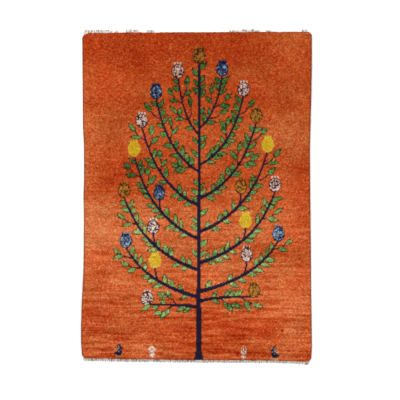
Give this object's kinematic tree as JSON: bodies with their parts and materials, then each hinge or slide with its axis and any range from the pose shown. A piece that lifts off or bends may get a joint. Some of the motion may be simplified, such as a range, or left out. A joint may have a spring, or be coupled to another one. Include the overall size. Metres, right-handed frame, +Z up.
{
  "type": "gabbeh rug",
  "caption": "Hand-knotted wool pile rug lying flat, with overcast sides and short fringed flat-woven ends; covers a floor.",
  "frame": {"origin": "on the floor, under the middle of the rug's own box, fringes included", "axes": "+X across the rug to the right as the tree is seen upright, +Y along the warps from the tree's foot to its crown, +Z up out of the pile"},
  "size_m": [1.0574, 1.5358, 0.0156],
  "materials": {
    "pile_wool": "matte, clipped knotted wool pile, rust orange with lighter and darker dye bands and a tree in navy, green and fruit colours",
    "selvedge_wool": "matte, dark rust wool overcast in bundles",
    "undyed_wool": "matte, undyed grey-cream wool, flat-woven with cut warp ends"
  },
  "bodies": {
    "root": {"pile_field": "pile_wool", "selvedge_left": "selvedge_wool", "selvedge_right": "selvedge_wool", "fringed_end_foot": "undyed_wool", "fringed_end_head": "undyed_wool"}
  },
  "joints": []
}
